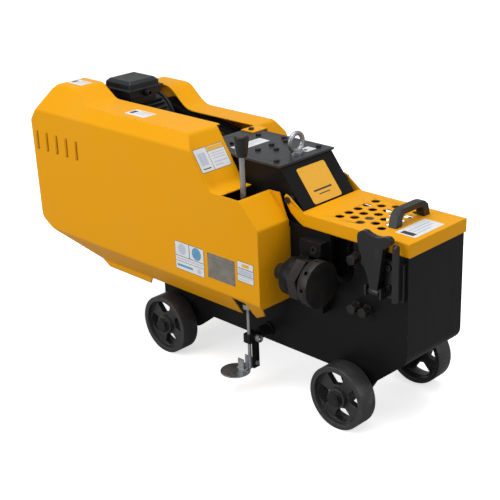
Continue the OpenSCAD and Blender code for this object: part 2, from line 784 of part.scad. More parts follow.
module lever_rod() color("#b9bcc0") {
    zcyl(4.5, 65, 271, lever_x - 3, lever_y);
    zcyl(7, 270, 664, lever_x - 3, lever_y);
}

module lever_knob() color("#1b1c1e") {
    difference() {
        translate([lever_x - 3, lever_y, 620]) rotate_extrude()
            polygon([[0, 0], [12, 0], [14, 6], [18, 40], [19, 48], [16, 52], [0, 52]]);
        zcyl(7, 619, 664, lever_x - 3, lever_y);
    }
}

// Zinc-plated channel with the round foot plate
module pedal() color("#c9ccd0") {
    end = lever_x - 0.5;
    difference() {
        union() {
            box(end - 32, end, -193, -158, 62, 65);
            box(end - 28, end - 9, -193, -190, 62, 90);
            box(end - 28, end, -168, -165, 62, 90);
            box(end - 3, end, -168, -152, 62, 90);
            zcyl(38, 60, 63, lever_x - 24, -207);
        }
        xcyl(3.5, end - 4, end + 1, -160, 76);
    }
    xcyl(3.5, end - 4, end + 8, -160, 76);
    xhex(11, end + 6, end + 11, -160, 76);
    xhex(11, end - 8, end - 3, -160, 76);
}

// Rod that the lever pulls outwards: an eye round the lever, and a shank through the frame wall
module shift_rod() color("#8d9196") {
    difference() {
        union() {
            ycyl(8, lever_y + 10, -20, shift_x, shift_z);
            zcyl(13, shift_z - 6, shift_z + 6, shift_x, lever_y);
        }
        zcyl(8, shift_z - 10, shift_z + 10, shift_x, lever_y);
    }
}

// Fork in the sleeve's groove
module shift_fork() color("#6d7076") {
    difference() {
        union() {
            side_plate([[shift_x - 16, shift_z - 14], [shift_x + 16, shift_z - 14], [crank_x + 50, crank_z - 40],
                        [crank_x + 54, crank_z], [crank_x - 54, crank_z], [crank_x - 50, crank_z - 40]],
                       -31.6, -27.4);
            ycyl(16, -38, -21, shift_x, shift_z);
        }
        ycyl(39.5, -45, -15, crank_x, crank_z);
        box(crank_x - 39.5, crank_x + 39.5, -45, -15, crank_z, crank_z + 60);
        ycyl(8, -45, -15, shift_x, shift_z);
    }
}

// Torsion spring round the lever's pin, between the clevis and the tongue, with a leg on the boss
module return_spring() color("#9a9da1") {
    turns = 4;
    steps = 16;
    sides = 6;
    wire_r = 1.1;
    coil_r = 8.4;
    x0 = lever_x + 11.5;
    pitch = 2.5;
    rings = turns * steps;
    points = [for (i = [0:rings], k = [0:sides - 1])
        let (a = i * 360 / steps, b = k * 360 / sides, r = coil_r + wire_r * cos(b))
            [x0 + pitch * i / steps + wire_r * sin(b), pivot_y + r * cos(a), pivot_z + r * sin(a)]];
    faces = concat(
        [for (i = [0:rings - 1], k = [0:sides - 1])
            let (n = (k + 1) % sides)
                [i * sides + k, i * sides + n, (i + 1) * sides + n, (i + 1) * sides + k]],
        [[for (k = [sides - 1:-1:0]) k]],
        [[for (k = [0:sides - 1]) rings * sides + k]]);
    polyhedron(points, faces, convexity = 8);
}

// ---------------------------------------------------------------- safety cover

module safety_cover() color("#eebb2b") {
    t = sheet;
    w = half_w + t;
    arm = [[617, cover_low_z], [617, cover_top_z], [308, cover_top_z], [262, 521], [252, 525], [246, 518], [249, 508],
           [265, 482], [293, 462], [306, cover_low_z]];
    difference() {
        side_plate(arm, -w, w);
        side_plate([[617 - t, cover_low_z - 1], [617 - t, cover_top_z - t], [200, cover_top_z - t],
                    [200, cover_low_z - 1]], -w + t, w - t);
        box(200, 297.5, -w + t, w - t, 440, 560);
        side_plate([[290, cover_top_z], [320, cover_top_z], [320, 560], [290, 560]], -w + t, w - t);
        // perforations in staggered rows
        for (row = [0:4]) let (odd = row % 2, count = 5 - odd)
            for (i = [0:count - 1])
                zcyl(perforation_d / 2, cover_top_z - t - 1, cover_top_z + 1, 384 + row * 30.8,
                     (i - (count - 1) / 2) * 33);
        for (s = [-1, 1])
            ycyl(hinge_r + run, s * (w - t / 2) - 3, s * (w - t / 2) + 3, hinge_x, hinge_z);
        for (y = handle_screw_ys) zcyl(3, cover_top_z - t - 1, cover_top_z + 1, 525, y);
    }
}

handle_screw_ys = [-41, 65];

// Bolts that the cover swings on, screwed into the housing's sides
module hinge_pins() color("#5f6266") {
    for (s = [-1, 1]) {
        ycyl(hinge_r, s * 96.5 - 13.5, s * 96.5 + 13.5, hinge_x, hinge_z);
        ycyl(9, s * 97.5 - 5.5, s * 97.5 + 5.5, hinge_x, hinge_z);
        yhex(15, s * 109 - 2, s * 109 + 2, hinge_x, hinge_z);
    }
}

// Bow handle along Y with its screws
module cover_handle() color("#232427") {
    y0 = -52;
    y1 = 76;
    z0 = cover_top_z;
    difference() {
        cross_plate([[y0, z0], [y0 + 22, z0], [y0 + 26, z0 + 22], [y0 + 32, z0 + 27], [y1 - 32, z0 + 27],
                     [y1 - 26, z0 + 22], [y1 - 22, z0], [y1, z0], [y1 - 8, z0 + 28], [y1 - 20, z0 + 38],
                     [y1 - 34, z0 + 40], [y0 + 34, z0 + 40], [y0 + 20, z0 + 38], [y0 + 8, z0 + 28]], 514, 536);
        for (y = handle_screw_ys) zcyl(3, z0 - 1, z0 + 12, 525, y);
    }
    for (y = handle_screw_ys) {
        zcyl(3, z0 - sheet - 1, z0 + 12, 525, y);
        zcyl(6, z0 - sheet - 4, z0 - sheet, 525, y);
    }
}

// Plate on the cover's skirt that the latch strap draws against
module latch_keeper() color("#1b1c1e") {
    box(520, 560, -half_w - sheet - 4, -half_w - sheet, 458, 480);
}

// ---------------------------------------------------------------- wheels

module wheel(x, side) {
    outer = side * track;
    inner = side * (track - wheel_w);
    y0 = min(outer, inner);
    web0 = side > 0 ? inner + 20 : outer + 14;
    difference() {
        union() {
            difference() {
                ycyl(wheel_r, y0, y0 + wheel_w, x, wheel_r);
                ycyl(wheel_r - 13, y0 - 1, y0 + wheel_w + 1, x, wheel_r);
            }
            ycyl(wheel_r - 12, web0, web0 + 16, x, wheel_r);
            ycyl(25, y0, y0 + wheel_w, x, wheel_r);
        }
        ycyl(12.5 + run, y0 - 1, y0 + wheel_w + 1, x, wheel_r);
        for (a = [0:90:270])
            translate([x, web0 + 17, wheel_r]) rotate([90, 0, 0]) rotate(a + 12) linear_extrude(18)
                polygon([polar(32, -22), polar(61, -26), polar(65, -12), polar(66, 0), polar(65, 12), polar(61, 26),
                         polar(32, 22)]);
    }
}

module wheel_front_near() color("#4a4c4f") wheel(front_axle_x, -1);
module wheel_front_far() color("#4a4c4f") wheel(front_axle_x, 1);
module wheel_rear_near() color("#4a4c4f") wheel(rear_axle_x, -1);
module wheel_rear_far() color("#4a4c4f") wheel(rear_axle_x, 1);

module axles() color("#5f6266") {
    for (x = [front_axle_x, rear_axle_x]) ycyl(12.5, -track - 12, track + 12, x, wheel_r);
}

// Plates that carry the axles, welded to the frame's lower edge
module axle_brackets() color("#1c1d1f") {
    front = [[405, frame_z], [424, 76], [442, 58], [478, 58], [492, 70], [520, frame_z]];
    rear = [[-200, frame_z], [-200, 92], [-178, 62], [-122, 58], [-84, 72], [-27, frame_z]];
    for (bracket = [[front_axle_x, front], [rear_axle_x, rear]], s = [-1, 1])
        difference() {
            union() {
                side_plate(bracket[1], s * 98 - 6, s * 98 + 6);
                ycyl(21, s > 0 ? 104 : -track + wheel_w + 1, s > 0 ? track - wheel_w - 1 : -104, bracket[0], wheel_r);
            }
            ycyl(12.5, s * 110 - 25, s * 110 + 25, bracket[0], wheel_r);
        }
}

// Washers and nuts on the axle ends
module axle_nuts() color("#5f6266") {
    for (x = [front_axle_x, rear_axle_x], s = [-1, 1])
        difference() {
            union() {
                ycyl(20, s * (track + 2) - 1, s * (track + 2) + 1, x, wheel_r);
                yhex(32, s * (track + 7) - 4, s * (track + 7) + 4, x, wheel_r, 10);
            }
            ycyl(12.5, s * (track + 6) - 10, s * (track + 6) + 10, x, wheel_r);
        }
}

// ---------------------------------------------------------------- motor rotor

module motor_shaft() color("#8d9196") {
    ycyl(rotor_r, -125, 176, motor_x, motor_z);
    ycyl(47.2, -55, 66, motor_x, motor_z);
}

module motor_pulley() color("#2a2c2f") {
    translate([motor_x, 0, motor_z]) rotate([-90, 0, 0]) rotate_extrude()
        polygon(pulley_rim(motor_pulley_r, rotor_r));
}

module cooling_fan() color("#3a3c40") {
    difference() {
        union() {
            ycyl(26, -122, -96, motor_x, motor_z);
            for (a = [0:60:300])
                translate([motor_x, -120, motor_z]) rotate([0, -a, 0]) translate([22, 0, -1.5]) cube([56, 22, 3]);
        }
        ycyl(rotor_r, -123, -95, motor_x, motor_z);
    }
}

at_frame() main_frame();
at_frame() gear_housing();
at_frame() top_plate();
at_frame() top_plate_bolts();
at_frame() eye_bolt();
at_frame() near_cover();
at_frame() far_cover();
at_frame() motor_bed();
at_frame() motor_frame();
at_frame() motor_fan_cowl();
at_frame() motor_end_shield();
at_frame() terminal_box();
at_frame() terminal_lid();
at_frame() cable_gland();
at_frame() motor_stator();
at_frame() v_belts();
at_frame() shaft_bushes();
at_frame() slide_cap();
at_frame() fixed_blade();
at_frame() side_bolts();
at_frame() stop_bracket();
at_frame() socket_screws();
at_frame() stop_lock_nut();
at_frame() latch_base();
at_frame() lever_bracket();
at_frame() lever_pin();
at_frame() axles();
at_frame() axle_brackets();
at_frame() axle_nuts();
at_frame() hinge_pins();
at_frame() return_spring();
at_frame() wheel_front_near();
at_frame() wheel_front_far();
at_frame() wheel_rear_near();
at_frame() wheel_rear_far();
at_frame() safety_cover();
at_frame() cover_handle();
at_frame() latch_keeper();
at_frame() latch_strap();
at_frame() stop_screw();
at_frame() lever_rod();
at_frame() lever_knob();
at_frame() pedal_arm();
at_frame() pedal();
at_frame() shift_rod();
at_frame() shift_fork();
at_frame() crankshaft();
at_frame() clutch_sleeve();
at_frame() drive_gear();
at_frame() connecting_rod();
at_frame() wrist_pin();
at_frame() slider();
at_frame() moving_blade();
at_frame() intermediate_shaft();
at_frame() intermediate_gear();
at_frame() flywheel_pulley();
at_frame() input_shaft();
at_frame() motor_shaft();
at_frame() motor_pulley();
at_frame() cooling_fan();
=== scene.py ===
import json
import math

import bmesh
import bpy
from mathutils import Matrix, Vector


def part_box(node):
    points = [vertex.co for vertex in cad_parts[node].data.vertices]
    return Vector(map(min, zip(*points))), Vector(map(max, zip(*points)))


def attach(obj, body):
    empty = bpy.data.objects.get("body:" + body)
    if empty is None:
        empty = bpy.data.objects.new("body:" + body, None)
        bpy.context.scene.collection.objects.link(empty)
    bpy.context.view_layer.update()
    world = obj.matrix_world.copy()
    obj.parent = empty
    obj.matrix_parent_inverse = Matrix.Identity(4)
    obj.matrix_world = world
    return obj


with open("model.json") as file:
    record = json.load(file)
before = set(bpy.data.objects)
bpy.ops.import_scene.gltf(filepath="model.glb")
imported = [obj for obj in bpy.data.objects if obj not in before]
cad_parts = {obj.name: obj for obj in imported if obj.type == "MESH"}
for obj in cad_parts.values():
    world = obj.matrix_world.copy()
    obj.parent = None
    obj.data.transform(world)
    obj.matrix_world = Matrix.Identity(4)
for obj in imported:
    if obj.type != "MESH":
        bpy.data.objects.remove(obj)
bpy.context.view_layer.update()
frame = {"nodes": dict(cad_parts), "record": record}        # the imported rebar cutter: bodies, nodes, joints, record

MM = 0.001
BEVEL_SAMPLES = 6
scene = bpy.context.scene


# ---------------------------------------------------------------- materials

class Look:
    """A node material under construction; every texture is in the object's own coordinates, in metres."""

    def __init__(self, name, base, rough, metal=0.0, specular=0.5):
        self.mat = bpy.data.materials.new(name)
        self.mat.use_nodes = True
        self.mat.diffuse_color = (*base, 1)
        self.tree = self.mat.node_tree
        self.tree.nodes.clear()
        self.out = self.tree.nodes.new("ShaderNodeOutputMaterial")
        self.shader = self.tree.nodes.new("ShaderNodeBsdfPrincipled")
        self.link(self.shader.outputs[0], self.out.inputs[0])
        self.shader.inputs["Base Color"].default_value = (*base, 1)
        self.shader.inputs["Roughness"].default_value = rough
        self.shader.inputs["Metallic"].default_value = metal
        self.shader.inputs["Specular IOR Level"].default_value = specular
        self.coords = self.tree.nodes.new("ShaderNodeTexCoord").outputs["Object"]
        self.normal = None

    def link(self, a, b):
        self.tree.links.new(a, b)

    def stretched(self, x, y, z):
        node = self.tree.nodes.new("ShaderNodeMapping")
        self.link(self.coords, node.inputs["Vector"])
        node.inputs["Scale"].default_value = (x, y, z)
        return node.outputs[0]

    def noise(self, scale, detail=3.0, coords=None):
        node = self.tree.nodes.new("ShaderNodeTexNoise")
        self.link(coords or self.coords, node.inputs["Vector"])
        node.inputs["Scale"].default_value = scale
        node.inputs["Detail"].default_value = detail
        return node.outputs["Fac"]

    def spots(self, scale):
        node = self.tree.nodes.new("ShaderNodeTexVoronoi")
        self.link(self.coords, node.inputs["Vector"])
        node.inputs["Scale"].default_value = scale
        return node.outputs["Distance"]

    def remap(self, value, lo, hi, to_lo=0.0, to_hi=1.0):
        node = self.tree.nodes.new("ShaderNodeMapRange")
        node.interpolation_type = "SMOOTHSTEP"
        self.link(value, node.inputs["Value"])
        for name, number in (("From Min", lo), ("From Max", hi), ("To Min", to_lo), ("To Max", to_hi)):
            node.inputs[name].default_value = number
        return node.outputs[0]

    def math(self, kind, a, b):
        node = self.tree.nodes.new("ShaderNodeMath")
        node.operation = kind
        for i, value in enumerate((a, b)):
            if hasattr(value, "is_linked"):
                self.link(value, node.inputs[i])
            else:
                node.inputs[i].default_value = value
        return node.outputs[0]

    def mix(self, amount, a, b):
        node = self.tree.nodes.new("ShaderNodeMix")
        node.data_type = "RGBA"
        self.link(amount, node.inputs["Factor"])
        for i, value in ((6, a), (7, b)):
            if hasattr(value, "is_linked"):
                self.link(value, node.inputs[i])
            else:
                node.inputs[i].default_value = (*value, 1)
        return node.outputs[2]

    def edges(self, radius):
        """1 near a sharp edge, 0 on flat faces"""
        bevel = self.tree.nodes.new("ShaderNodeBevel")
        bevel.samples = BEVEL_SAMPLES
        bevel.inputs["Radius"].default_value = radius
        plain = self.tree.nodes.new("ShaderNodeNewGeometry").outputs["Normal"]
        dot = self.tree.nodes.new("ShaderNodeVectorMath")
        dot.operation = "DOT_PRODUCT"
        self.link(bevel.outputs[0], dot.inputs[0])
        self.link(plain, dot.inputs[1])
        return self.remap(dot.outputs["Value"], 0.998, 0.93)

    def soft_edges(self, radius):
        bevel = self.tree.nodes.new("ShaderNodeBevel")
        bevel.samples = BEVEL_SAMPLES
        bevel.inputs["Radius"].default_value = radius
        self.normal = bevel.outputs[0]

    def bump(self, height, distance, strength=1.0):
        node = self.tree.nodes.new("ShaderNodeBump")
        node.inputs["Strength"].default_value = strength
        node.inputs["Distance"].default_value = distance
        self.link(height, node.inputs["Height"])
        if self.normal is not None:
            self.link(self.normal, node.inputs["Normal"])
        self.normal = node.outputs[0]

    def done(self, color=None, rough=None):
        if color is not None:
            self.link(color, self.shader.inputs["Base Color"])
        if rough is not None:
            self.link(rough, self.shader.inputs["Roughness"])
        if self.normal is not None:
            self.link(self.normal, self.shader.inputs["Normal"])
        return self.mat


def painted(name, base, dusty, worn, rough, specular, dust=0.25, fold=1.2 * MM, peel=0.02 * MM):
    """Sprayed paint: orange peel, uneven gloss, dust film and rubbed edges with a few chips"""
    look = Look(name, base, rough, specular=specular)
    cloud = look.noise(7, 4)
    fine = look.noise(160, 3)
    film = look.math("MULTIPLY", look.remap(cloud, 0.42, 0.72), look.remap(fine, 0.3, 0.75, 0.4, 1.0))
    tint = look.mix(look.math("MULTIPLY", film, dust), base, dusty)
    edge = look.edges(1.6 * MM)
    chips = look.math("MULTIPLY", edge, look.remap(look.noise(90, 4), 0.56, 0.66))
    color = look.mix(look.math("MULTIPLY", chips, 0.8), tint, worn)
    streak = look.noise(60, 3, look.stretched(1, 1, 0.12))
    filmed = look.remap(film, 0, 1, rough, rough + 0.16)
    rough_map = look.math("ADD", filmed, look.remap(streak, 0.4, 0.7, 0.0, 0.05))
    look.soft_edges(fold)
    look.bump(look.noise(420, 2), peel)
    look.bump(look.noise(22, 2), 0.12 * MM)
    return look.done(color, rough_map)


def metal(name, base, other, rough, metalness=1.0, grain=(1, 1, 1), scale=300, relief=0.03 * MM,
          specular=0.5, worn=None):
    """Bare, plated or blackened metal with its machining grain, stains and bright edges"""
    look = Look(name, base, rough, metal=metalness, specular=specular)
    stain = look.remap(look.noise(30, 5), 0.4, 0.68)
    color = look.mix(stain, base, other)
    if worn:
        rub = look.math("MULTIPLY", look.edges(1.0 * MM), look.remap(look.noise(140, 3), 0.4, 0.6))
        color = look.mix(rub, color, worn)
    lines = look.noise(scale, 4, look.stretched(*grain))
    rough_map = look.remap(lines, 0.3, 0.7, rough - 0.07, rough + 0.1)
    look.soft_edges(0.6 * MM)
    look.bump(lines, relief)
    return look.done(color, rough_map)


def cast(name, base, dusty, rubbed_and_highlit, rough, grain=260):
    """Sand-cast iron under thin black paint: pebbled skin, pits and a dusty tread"""
    look = Look(name, base, rough, specular=0.5)
    pebbles = look.noise(grain, 5)
    pits = look.remap(look.spots(190), 0.0, 0.28)
    dust = look.math("MULTIPLY", look.remap(look.noise(26, 5), 0.5, 0.75), look.remap(pebbles, 0.45, 0.65))
    # Lighter colour on the edges: partly rubbed iron, partly a painted highlight along the edges
    rub = look.math("MULTIPLY", look.edges(2.0 * MM), look.remap(look.noise(60, 4), 0.42, 0.62))
    color = look.mix(look.math("MULTIPLY", dust, 0.6), base, dusty)
    color = look.mix(look.math("MULTIPLY", rub, 0.75), color, rubbed_and_highlit)
    look.soft_edges(1.2 * MM)
    look.bump(pebbles, 0.4 * MM)
    look.bump(pits, 0.25 * MM)
    return look.done(color, look.remap(pebbles, 0.35, 0.7, rough - 0.1, rough + 0.14))


def moulded(name, base, pale, rough, scale, specular=0.4):
    """Moulded plastic or rubber with a fine spark-eroded texture and scuffs"""
    look = Look(name, base, rough, specular=specular)
    scuffs = look.remap(look.noise(45, 6, look.stretched(1, 1, 0.3)), 0.55, 0.7)
    color = look.mix(look.math("MULTIPLY", scuffs, 0.35), base, pale)
    look.soft_edges(1.2 * MM)
    look.bump(look.noise(scale, 3), 0.06 * MM)
    return look.done(color, look.remap(scuffs, 0, 1, rough, rough + 0.12))


def printed(name, base, pale, rough=0.38):
    """Printed vinyl or plate: faint mottling and rubbed ink"""
    look = Look(name, base, rough, specular=0.4)
    mottle = look.remap(look.noise(120, 4), 0.45, 0.7)
    color = look.mix(look.math("MULTIPLY", mottle, 0.3), base, pale)
    look.bump(look.noise(700, 2), 0.01 * MM)
    return look.done(color, look.remap(mottle, 0, 1, rough - 0.05, rough + 0.08))


YELLOW = (0.80, 0.350, 0.002)
LOOKS = {
    "yellow_paint": painted("yellow_paint", YELLOW, (0.66, 0.36, 0.075), (0.10, 0.085, 0.07), 0.36, 0.11,
                            fold=5 * MM, dust=0.12),
    "black_paint": painted("black_paint", (0.0078, 0.0079, 0.0084), (0.030, 0.029, 0.027),
                           (0.10, 0.095, 0.09), 0.36, 0.12, dust=0.16, fold=1.6 * MM, peel=0.04 * MM),
    "grey_plate": painted("grey_plate", (0.022, 0.024, 0.028), (0.06, 0.06, 0.06), (0.2, 0.2, 0.2),
                          0.34, 0.45, dust=0.35, peel=0.04 * MM),
    "motor_paint": painted("motor_paint", (0.011, 0.0125, 0.015), (0.05, 0.048, 0.045), (0.12, 0.12, 0.12),
                           0.36, 0.4, dust=0.35, fold=2.2 * MM, peel=0.09 * MM),
    "black_oxide": metal("black_oxide", (0.016, 0.016, 0.017), (0.032, 0.026, 0.02), 0.40, 0.35, scale=500,
                         specular=0.35, worn=(0.10, 0.10, 0.10)),
    "zinc": metal("zinc", (0.42, 0.43, 0.45), (0.26, 0.27, 0.29), 0.34, 0.9, scale=260, relief=0.05 * MM,
                  worn=(0.62, 0.62, 0.63)),
    "machined_steel": metal("machined_steel", (0.45, 0.45, 0.46), (0.30, 0.28, 0.26), 0.30, 1.0,
                            grain=(1, 0.05, 1), scale=500),
    "tool_steel": metal("tool_steel", (0.36, 0.37, 0.39), (0.22, 0.21, 0.20), 0.28, 1.0, grain=(1, 0.08, 1),
                        scale=600),
    # cast_iron's third colour is the edge colour: rubbed iron plus a painted edge highlight
    "cast_iron": cast("cast_iron", (0.026, 0.0265, 0.028), (0.13, 0.125, 0.115), (0.17, 0.17, 0.172), 0.43),
    "bronze": metal("bronze", (0.55, 0.33, 0.13), (0.36, 0.2, 0.08), 0.34, 1.0, scale=400),
    "rubber": moulded("rubber", (0.009, 0.009, 0.0095), (0.05, 0.048, 0.045), 0.30, scale=1200, specular=0.4),
    "belt_rubber": moulded("belt_rubber", (0.014, 0.014, 0.014), (0.06, 0.055, 0.05), 0.62, scale=1500),
    "black_plastic": moulded("black_plastic", (0.009, 0.009, 0.010), (0.05, 0.05, 0.051), 0.30, scale=1000,
                             specular=0.45),
    "windings": metal("windings", (0.30, 0.17, 0.07), (0.2, 0.19, 0.18), 0.42, 0.8, grain=(1, 6, 1),
                      scale=160),
}
LABEL_WHITE = printed("label_white", (0.74, 0.75, 0.76), (0.62, 0.62, 0.6))
LABEL_BLUE = printed("label_blue", (0.10, 0.30, 0.50), (0.3, 0.45, 0.58))
LABEL_PALE = printed("label_pale", (0.50, 0.54, 0.66), (0.62, 0.64, 0.70))
LABEL_AMBER = printed("label_amber", (0.80, 0.42, 0.03), (0.78, 0.5, 0.14))
LABEL_INK = printed("label_ink", (0.035, 0.036, 0.04), (0.09, 0.09, 0.09))
DATA_PLATE = metal("data_plate", (0.33, 0.31, 0.27), (0.24, 0.23, 0.2), 0.42, 0.85, grain=(0.06, 1, 1),
                   scale=700)

slot_of = {part["node"]: part["material_slot"] for part in frame["record"]["subparts"]}
for node, obj in frame["nodes"].items():
    finish = LOOKS[slot_of[node]]
    if not obj.material_slots:
        obj.data.materials.append(finish)
    for holder in obj.material_slots:
        holder.link = "OBJECT"
        holder.material = finish

# Rolled and dressed edges of the plates and castings, as bevel widths in mm
WELD_REACH = 0.02 * MM
SHARPEST_UNROUNDED = math.radians(28)
ROUNDED = {
    "main_frame": 2.0, "gear_housing": 2.0, "top_plate": 0.8, "near_cover": 1.1, "far_cover": 1.1,
    "safety_cover": 1.1, "motor_bed": 1.2, "terminal_box": 1.2, "terminal_lid": 2.0, "cover_handle": 1.6,
    "latch_base": 1.0, "latch_strap": 1.4, "stop_bracket": 1.6, "lever_knob": 0.8, "pedal": 0.8,
    "pedal_arm": 0.8, "lever_bracket": 1.0, "wheel_front_near": 1.6, "wheel_front_far": 1.6,
    "wheel_rear_near": 1.6, "wheel_rear_far": 1.6, "stop_screw": 1.2, "stop_lock_nut": 1.0,
    "latch_keeper": 0.6, "axle_brackets": 1.2, "axle_nuts": 0.5, "side_bolts": 0.5, "top_plate_bolts": 0.4,
    "motor_end_shield": 1.5,
}
for node, width in ROUNDED.items():
    obj = frame["nodes"][node]
    weld = obj.modifiers.new("weld", "WELD")
    weld.merge_threshold = WELD_REACH
    bevel = obj.modifiers.new("rounded", "BEVEL")
    bevel.width = width * MM
    bevel.segments = 2
    bevel.limit_method = "ANGLE"
    bevel.angle_limit = SHARPEST_UNROUNDED
    bevel.harden_normals = True


# ---------------------------------------------------------------- added pieces

def new_piece(name, bm, materials, body):
    """A piece that rides on a body, from a finished bmesh"""
    mesh = bpy.data.meshes.new(name)
    bm.to_mesh(mesh)
    bm.free()
    obj = bpy.data.objects.new(name, mesh)
    scene.collection.objects.link(obj)
    for material in materials:
        mesh.materials.append(material)
    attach(obj, body)
    return obj


def rounded_outline(x0, y0, x1, y1, r, steps=5):
    """A rectangle with round corners, anticlockwise from its right side"""
    centres = ((x1 - r, y1 - r), (x0 + r, y1 - r), (x0 + r, y0 + r), (x1 - r, y0 + r))
    points = []
    for (cx, cy), start in zip(centres, (0, 90, 180, 270)):
        for i in range(steps + 1):
            a = math.radians(start + 90 * i / steps)
            points.append((cx + r * math.cos(a), cy + r * math.sin(a)))
    return points


def add_prism(bm, outline, z0, z1, colour, edge=0.0):
    """A closed prism over an outline; its top edge is chamfered by edge"""
    cx = sum(p[0] for p in outline) / len(outline)
    cy = sum(p[1] for p in outline) / len(outline)

    def ring(z, inset):
        verts = []
        for x, y in outline:
            away = Vector((x - cx, y - cy))
            scale = 1 - inset / max(away.length, 1e-6)
            verts.append(bm.verts.new((cx + away.x * scale, cy + away.y * scale, z)))
        return verts

    rings = [ring(z0, 0), ring(z1 - edge, 0), ring(z1, edge)] if edge else [ring(z0, 0), ring(z1, 0)]
    faces = [bm.faces.new(list(reversed(rings[0]))), bm.faces.new(rings[-1])]
    for low, high in zip(rings, rings[1:]):
        n = len(low)
        faces += [bm.faces.new((low[i], low[(i + 1) % n], high[(i + 1) % n], high[i])) for i in range(n)]
    for face in faces:
        face.material_index = colour


PRINTS = [LABEL_WHITE, LABEL_BLUE, LABEL_PALE, LABEL_AMBER, LABEL_INK, DATA_PLATE]
WHITE, BLUE, PALE, AMBER, INK, PLATE = range(6)
DISC_SIDES = 32


def label(name, body, centre, right, up, width, height, ground, marks, corner=2.0, thick=0.35, border=None):
    """A sticker or plate: mm sizes, centre in metres, right and up along the surface.
    marks are (kind, x0, y0, x1, y1, colour), in fractions of the size."""
    bm = bmesh.new()
    w, h = width / 2, height / 2
    sheet_colour = ground if border is None else border
    add_prism(bm, rounded_outline(-w, -h, w, h, corner), 0.05, thick, sheet_colour, 0.08)
    if border is not None:
        field = rounded_outline(-w + 1, -h + 1, w - 1, h - 1, max(corner - 1, 0.4))
        add_prism(bm, field, thick - 0.05, thick + 0.04, ground)
    for kind, x0, y0, x1, y1, colour in marks:
        x0, x1 = (v * width - w for v in (x0, x1))
        y0, y1 = (v * height - h for v in (y0, y1))
        if kind == "disc":
            r = min(x1 - x0, y1 - y0) / 2
            cx, cy = (x0 + x1) / 2, (y0 + y1) / 2
            turns = [i * math.tau / DISC_SIDES for i in range(DISC_SIDES)]
            outline = [(cx + r * math.cos(a), cy + r * math.sin(a)) for a in turns]
        else:
            outline = rounded_outline(x0, y0, x1, y1, min(0.4, (y1 - y0) / 3), 2)
        add_prism(bm, outline, thick, thick + 0.1, colour)
    right, up = Vector(right).normalized(), Vector(up).normalized()
    out = right.cross(up)
    place = Matrix((right, up, out)).transposed().to_4x4()
    place.translation = Vector(centre)
    bmesh.ops.transform(bm, matrix=place @ Matrix.Scale(MM, 4), verts=bm.verts)
    return new_piece(name, bm, PRINTS, body)


def rows(x0, x1, y0, y1, count, colour, last=1.0):
    """Plain bars standing for printed lines"""
    pitch = (y1 - y0) / count
    return [("bar", x0, y1 - (i + 0.7) * pitch, x1 if i < count - 1 else x0 + (x1 - x0) * last,
             y1 - (i + 0.3) * pitch, colour) for i in range(count)]


near_low, near_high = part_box("near_cover")
side_y = near_low[1]
front = near_high[0]
cover_top = near_high[2]
flat_top = cover_top - 38 * MM      # the lower flat between the rear top and the slope

# Directions along the surfaces: forwards, backwards, across to the belt side, and upwards
RIGHT, REAR, ACROSS, UP = (1, 0, 0), (-1, 0, 0), (0, 1, 0), (0, 0, 1)
label("label_side_left", "frame", (front - 243.5 * MM, side_y, 0.331), RIGHT, UP, 106, 76, WHITE,
      [("disc", 0.08, 0.56, 0.42, 0.94, PALE), ("disc", 0.54, 0.53, 0.96, 0.97, BLUE),
       ("bar", 0.49, 0.5, 0.51, 0.98, INK), ("bar", 0.02, 0.485, 0.98, 0.505, INK),
       ("bar", 0.02, 0.30, 0.98, 0.315, INK)] + rows(0.06, 0.94, 0.34, 0.46, 1, PALE)
      + rows(0.06, 0.60, 0.06, 0.26, 1, BLUE) + [("disc", 0.74, 0.07, 0.9, 0.25, PALE)], border=INK)
label("plate_side_data", "frame", (front - 129.5 * MM, side_y, 0.334), RIGHT, UP, 95, 66, PLATE,
      [("bar", 0.05, 0.82, 0.95, 0.83, INK)]
      + [("disc", x, y, x + 0.035, y + 0.05, INK) for y in (0.03, 0.92) for x in (0.01, 0.955)]
      + rows(0.06, 0.46, 0.10, 0.80, 6, PLATE) + rows(0.54, 0.94, 0.10, 0.80, 6, PLATE),
      corner=1.5, thick=0.6)
label("label_side_right", "frame", (front - 45.5 * MM, side_y, 0.3475), RIGHT, UP, 55, 53, WHITE,
      [("bar", 0.30, 0.74, 0.72, 0.9, AMBER), ("bar", 0.04, 0.64, 0.96, 0.67, INK),
       ("bar", 0.08, 0.38, 0.92, 0.60, PALE), ("bar", 0.04, 0.32, 0.96, 0.35, INK)]
      + rows(0.1, 0.9, 0.06, 0.30, 2, PALE, 0.8), border=INK)

slope_top, slope_foot = Vector((0.018, 0, flat_top)), Vector((0.102, 0, 0.525))
down = (slope_foot - slope_top).normalized()
centre = slope_top + down * 0.074 + Vector((0, side_y + 56 * MM, 0))
label("label_slope", "frame", centre, ACROSS, -down, 98, 62, WHITE,
      [("bar", 0.44, 0.80, 0.985, 0.965, AMBER), ("bar", 0.42, 0.02, 0.43, 0.98, INK),
       ("bar", 0.43, 0.775, 0.98, 0.79, INK), ("bar", 0.09, 0.28, 0.205, 0.80, PALE),
       ("bar", 0.215, 0.28, 0.33, 0.80, PALE), ("bar", 0.08, 0.12, 0.34, 0.16, INK)]
      + rows(0.50, 0.94, 0.40, 0.72, 3, PALE) + rows(0.50, 0.94, 0.10, 0.36, 2, PALE, 0.6), border=INK)


